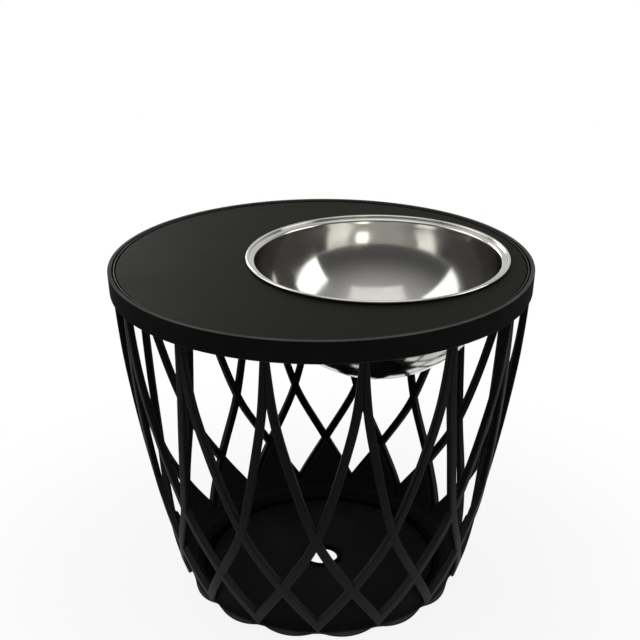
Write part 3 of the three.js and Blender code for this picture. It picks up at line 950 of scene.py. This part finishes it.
def station_matrix(height, side):
    """Place of the section at a height."""
    radius = basket_radius(height)
    normal_out, normal_up = surface_normal(height)
    angle = side * max(0, sweep_steps(height)) * STEP_ANGLE
    turn = side * slope_at(sweep_steps, height) * STEP_ANGLE
    outward = Vector((math.cos(angle), math.sin(angle), 0))
    around = Vector((-math.sin(angle), math.cos(angle), 0))
    normal = outward * normal_out + Z_AXIS * normal_up
    rise = Z_AXIS - outward * (normal_up / normal_out)
    along = (rise + around * (turn * radius)).normalized()
    across = along.cross(normal).normalized()
    return placed(across, normal, along, outward * radius + Z_AXIS * height)


def pressed(point, matrix, side):
    """The section's point, kept on its own side of the plane between the two ribs of a pair.
    The edge that meets the plane is rounded, which leaves a fine groove between the two."""
    spread = 1 + RIB_SPREAD_SHARE * ramp(matrix.translation.z, RIB_SPREAD_TOP, 0)
    room = side * matrix.translation.y / matrix[1][0] - RIB_PRESS_GAP
    rise = max(0, GROOVE_ROUND - point.y)
    groove = GROOVE_ROUND - math.sqrt(GROOVE_ROUND**2 - rise**2)
    across = max(side * point.x * spread, groove - room)
    return Vector((side * across, point.y, point.z))


def rib_stations(section, side):
    """Matrix and section at each station: two slim upright ones for the head that goes into
    the top ring, then those down the basket."""
    top = BAND_FOOT - HEAD_DROP
    head = station_matrix(top, side)
    outward = head.translation.xy.normalized().to_3d()
    slim = [Vector((p.x, HEAD_INSET + p.y * HEAD_DEPTH / RIB_DEPTH, 0)) for p in section]
    stations = []
    for height in (ring_high.z, top):
        place = (*head.translation.xy, height)
        stations.append((placed(head.col[0].xyz, outward, Z_AXIS, place), slim))
    for i in range(RIB_STATIONS):
        height = top + (i / (RIB_STATIONS - 1)) * (RIB_END - top)
        stations.append((station_matrix(height, side), section))
    return stations


def swept_rib(side):
    bm = bmesh.new()
    corner = bm.verts.layers.int.new("corner")
    face = rib_section(bm)
    section = []
    for number, vert in enumerate(face.verts):
        vert[corner] = number
        section.append(vert.co.copy())
    for number, (matrix, points) in enumerate(rib_stations(section, side)):
        if number:
            before = face
            grown = bmesh.ops.extrude_face_region(bm, geom=[before])["geom"]
            face = next(part for part in grown if isinstance(part, bmesh.types.BMFace))
            if number > 1:
                bmesh.ops.delete(bm, geom=[before], context="FACES_ONLY")
        for vert in face.verts:
            vert.co = matrix @ pressed(points[vert[corner]], matrix, side)
    tip = side * TIP_SWEEP * STEP_ANGLE
    bmesh.ops.bisect_plane(
        bm,
        geom=bm.verts[:] + bm.edges[:] + bm.faces[:],
        dist=CUT_DISTANCE,
        plane_co=ORIGIN,
        plane_no=Vector((-math.sin(tip), math.cos(tip), 0)) * side,
        clear_outer=True,
    )
    bmesh.ops.holes_fill(bm, edges=[edge for edge in bm.edges if edge.is_boundary])
    return bm


def build_ribs():
    for side, family in ((1, "right"), (-1, "left")):
        pattern = swept_rib(side)
        for index in range(ROOT_COUNT):
            bm = pattern.copy()
            turn = Matrix.Rotation(root_angle(index), 4, "Z")
            bmesh.ops.transform(bm, verts=bm.verts, matrix=turn)
            node = f"rib_{family}_{index + 1:02d}"
            finish_piece(bm, f"moulded_{node}", "basket", node, basket_plastic)
        pattern.free()


def build_top_ring():
    outer = ring_high.x
    inner = outer - TOP_RING_WIDTH
    bm = turned_shell(
        [
            (inner, ring_low.z, TOP_RING_ROUND),
            (outer, ring_low.z, TOP_RING_ROUND),
            (outer, ring_high.z, TOP_RING_ROUND),
            (inner, ring_high.z, TOP_RING_ROUND),
        ],
        HOOP_STEPS,
    )
    finish_piece(bm, "tie_ring", "basket", "basket_top_ring", basket_plastic)


# Base cup: flange and foot, a lip that dips under each petal, and a wall that runs up
# behind the ribs into a petal under each second crossing


def notch_share(angle):
    """0 at a petal's middle, 1 at the notch between two petals."""
    from_root = (angle - root_angle(0)) / STEP_ANGLE
    return min(1, abs(from_root - round(from_root)) * 2)


def wall_point(height, depth):
    """Radius and height of a point this deep under the basket's surface."""
    normal_out, normal_up = surface_normal(height)
    return basket_radius(height) - depth * normal_out, height - depth * normal_up


def cup_wall(peak):
    """Heights and depths up the wall's face, over its rounded edge and down its back."""
    rise = peak - CUP_EDGE_CAP - CUP_WALL_FOOT
    rows = [CUP_WALL_FOOT + i / CUP_WALL_ROWS * rise for i in range(CUP_WALL_ROWS + 1)]
    half = 0.5 * (CUP_BACK_DEPTH - CUP_FACE_DEPTH)
    edge = []
    for angle in (-0.5 * QUARTER_TURN, 0, 0.5 * QUARTER_TURN):
        height = peak - CUP_EDGE_CAP * (1 - math.cos(angle))
        edge.append((height, CUP_FACE_DEPTH + half * (1 + math.sin(angle))))
    face = [(height, CUP_FACE_DEPTH) for height in rows]
    back = [(height, CUP_BACK_DEPTH) for height in reversed(rows)]
    return face + edge + back


def cup_outline():
    """Corners of the cup's section before and after its wall: the plate's ledge, the foot and
    the lip, and then the fillet inside, the flange and the recess."""
    recess = plate_high.x + PLATE_RECESS_GAP
    ledge_inner = recess - PLATE_LEDGE_WIDTH
    plate_seat = FOOT_STEP + PLATE_LEDGE_THICKNESS
    before = [
        (ledge_inner, plate_seat, CUP_ROUND),
        (ledge_inner, FOOT_STEP, CUP_ROUND),
        (FOOT_INNER - FOOT_STEP, FOOT_STEP, CUP_ROUND),
        (FOOT_INNER, 0, CUP_ROUND),
        (FOOT_OUTER, 0, CUP_FOOT_ROUND),
        (LIP_EDGE, LIP_EDGE_HEIGHT, CUP_ROUND),
        (LIP_EDGE, LIP_EDGE_HEIGHT + TOE_EDGE, CUP_ROUND),
        (LIP_SHOULDER, LIP_ROUND_HEIGHT, LIP_SHOULDER_ROUND),
        (TIP_RADIUS - LIP_INSET, LIP_HEIGHT, LIP_ROUND),
    ]
    after = [
        (TIP_RADIUS - FLANGE_FILLET_INSET, FLANGE_TOP, FLANGE_FILLET),
        (recess, FLANGE_TOP, CUP_ROUND),
        (recess, plate_seat, CUP_ROUND),
    ]
    return before, after


def petal_point(row, depth, peak, notch):
    """Radius and height of a point of the wall, which runs lower towards a notch."""
    edge = height_at_sweep(1 + notch * (TIP_SWEEP - 1))
    from_top = peak - row
    along = edge - from_top
    if from_top > CUP_EDGE_CAP:
        share = ramp(row, CUP_WALL_FOOT, peak - CUP_EDGE_CAP)
        along = CUP_WALL_FOOT + share * (edge - CUP_EDGE_CAP - CUP_WALL_FOOT)
    return wall_point(along, depth)


def lip_point(radius, height, notch):
    """Radius and height of a point of the foot and lip, drawn in and up towards a notch."""
    foot = ramp(radius, FOOT_INNER, FOOT_OUTER) * ramp(height, 2 * LIP_EDGE_HEIGHT, 0)
    toe = ramp(radius, FOOT_OUTER, LIP_EDGE) * ramp(height, LIP_HEIGHT, LIP_EDGE_HEIGHT)
    radius -= (SCALLOP_BULGE * foot * (1 - toe) + TOE_BULGE * toe) * notch**2
    height += SCALLOP_LIFT * toe * notch**2
    return radius, height


def build_cup():
    peak = height_at_sweep(1)
    wall = cup_wall(peak)
    before, after = cup_outline()
    points = [(radius, height) for radius, height, _ in before]
    points += [wall_point(height, depth) for height, depth in wall]
    points += [(radius, height) for radius, height, _ in after]
    bm = bmesh.new()
    wall_row = bm.verts.layers.float.new("wall_row")
    wall_depth = bm.verts.layers.float.new("wall_depth")
    verts = [bm.verts.new((radius, 0, height)) for radius, height in points]
    bm.faces.new(verts)
    round_corners(bm, verts, before, CORNER_SEGMENTS)
    round_corners(bm, verts[-len(after) :], after, WIDE_CORNER_SEGMENTS)
    for vert, (height, depth) in zip(verts[len(before) :], wall):
        vert[wall_row] = height
        vert[wall_depth] = depth
    to_root = Matrix.Rotation(root_angle(0), 3, "Z")
    bmesh.ops.rotate(bm, verts=bm.verts, cent=ORIGIN, matrix=to_root)
    spin_outline(bm, 2 * ROOT_COUNT * CUP_STEPS_PER_HALF_STEP)
    for vert in bm.verts:
        angle = math.atan2(vert.co.y, vert.co.x)
        notch = notch_share(angle)
        if vert[wall_depth]:
            radius, height = petal_point(vert[wall_row], vert[wall_depth], peak, notch)
        else:
            radius, height = lip_point(vert.co.xy.length, vert.co.z, notch)
        vert.co = (radius * math.cos(angle), radius * math.sin(angle), height)
    finish_piece(bm, "petal_cup", "basket", "base_cup", cup_plastic)


def build_plate():
    top = plate_high.z - COLLAR_HEIGHT
    outer = COLLAR_INNER_RADIUS + COLLAR_WALL
    bm = turned_shell(
        [
            (COLLAR_INNER_RADIUS, plate_low.z, PLATE_ROUND),
            (plate_high.x, plate_low.z, PLATE_ROUND),
            (plate_high.x, top, PLATE_TOP_ROUND),
            (outer, top, COLLAR_FOOT_ROUND),
            (outer, plate_high.z, COLLAR_ROUND),
            (COLLAR_INNER_RADIUS + COLLAR_FLARE, plate_high.z, COLLAR_ROUND),
        ],
        PLATE_STEPS,
    )
    finish_piece(bm, "drain_plate", "basket", "floor_plate", plate_plastic)


# Floor, world, lamps and camera


def build_floor():
    """A floor that camera, gloss and glass see as nearly white, with the table's shadow."""
    bm = bmesh.new()
    bmesh.ops.create_grid(bm, x_segments=1, y_segments=1, size=FLOOR_HALF)
    bmesh.ops.translate(bm, verts=bm.verts, vec=Vector((0, 0, -FLOOR_DROP)))
    mesh = bpy.data.meshes.new("floor")
    bm.to_mesh(mesh)
    bm.free()
    finish = Finish("floor_white")
    here = finish.add("ShaderNodeTexCoord", output="Object")
    length = {"operation": "LENGTH"}
    distance = finish.add("ShaderNodeVectorMath", length, {"Vector": here}, "Value")
    far = distance.between(SHADOW_FADE_START, SHADOW_FADE_END)
    seen = finish.seen_by("Camera", "Glossy", "Transmission")
    share = (far * (1 - GLOW_SHARE) + GLOW_SHARE) * seen
    lit = finish.add("ShaderNodeBsdfDiffuse", None, {"Color": FLOOR_WHITE})
    glow = finish.add("ShaderNodeEmission")
    mixed = finish.add("ShaderNodeMixShader", None, {0: share, 1: lit, 2: glow})
    mesh.materials.append(finish.show(mixed))
    floor = bpy.data.objects.new("floor", mesh)
    bpy.context.scene.collection.objects.link(floor)


def build_world():
    """White to the camera. Gloss and glass see a dim room in front of the table, a pale
    sweep behind it and a soft ceiling."""
    world = bpy.data.worlds.new("studio_world")
    nodes = NodeSet(world)
    _, behind, above = nodes.parts(nodes.add("ShaderNodeTexCoord", output="Generated"))
    ceiling = above.between(CEILING_START, 1.0) * CEILING_GLOSS
    sweep = behind.between(SWEEP_START, SWEEP_END) * SWEEP_GLOSS
    room = sweep.math("MAXIMUM", ceiling) * (1 - ROOM_GLOSS) + ROOM_GLOSS
    gloss = nodes.seen_by("Glossy", "Transmission")
    strength = WORLD_LIGHT + gloss * (room - WORLD_LIGHT)
    strength = strength + nodes.seen_by("Camera") * (1 - strength)
    light = nodes.add("ShaderNodeBackground", None, {"Color": WHITE, "Strength": strength})
    nodes.add("ShaderNodeOutputWorld", None, {"Surface": light})
    bpy.context.scene.world = world


def build_lamps():
    for name, place, size, power in LAMPS:
        lamp = bpy.data.lights.new(name, "AREA")
        lamp.shape = "SQUARE"
        lamp.size = size
        lamp.energy = power
        holder = bpy.data.objects.new(name, lamp)
        holder.location = place
        holder.rotation_euler = (LAMP_AIM - Vector(place)).to_track_quat("-Z", "Y").to_euler()
        bpy.context.scene.collection.objects.link(holder)


def build_camera():
    forward = Vector((0, math.cos(CAMERA_DOWN), -math.sin(CAMERA_DOWN)))
    level_right = Vector((1, 0, 0))
    level_up = level_right.cross(forward)
    right = level_right * math.cos(CAMERA_ROLL) + level_up * math.sin(CAMERA_ROLL)
    up = level_up * math.cos(CAMERA_ROLL) - level_right * math.sin(CAMERA_ROLL)
    lens = bpy.data.cameras.new("photo_camera")
    lens.sensor_width = SENSOR_WIDTH
    lens.lens = LENS_PIXELS * SENSOR_WIDTH / FRAME_PIXELS
    camera = bpy.data.objects.new("photo_camera", lens)
    turned = Matrix((right, up, -forward)).transposed().to_4x4()
    camera.matrix_world = Matrix.Translation(CAMERA_PLACE) @ turned
    bpy.context.scene.collection.objects.link(camera)
    bpy.context.scene.camera = camera


build_lid_band()
build_trim_ring()
build_panel()
build_bowl()
build_ribs()
build_top_ring()
build_cup()
build_plate()
build_floor()
build_world()
build_lamps()
build_camera()
bpy.context.scene.view_settings.view_transform = "Standard"
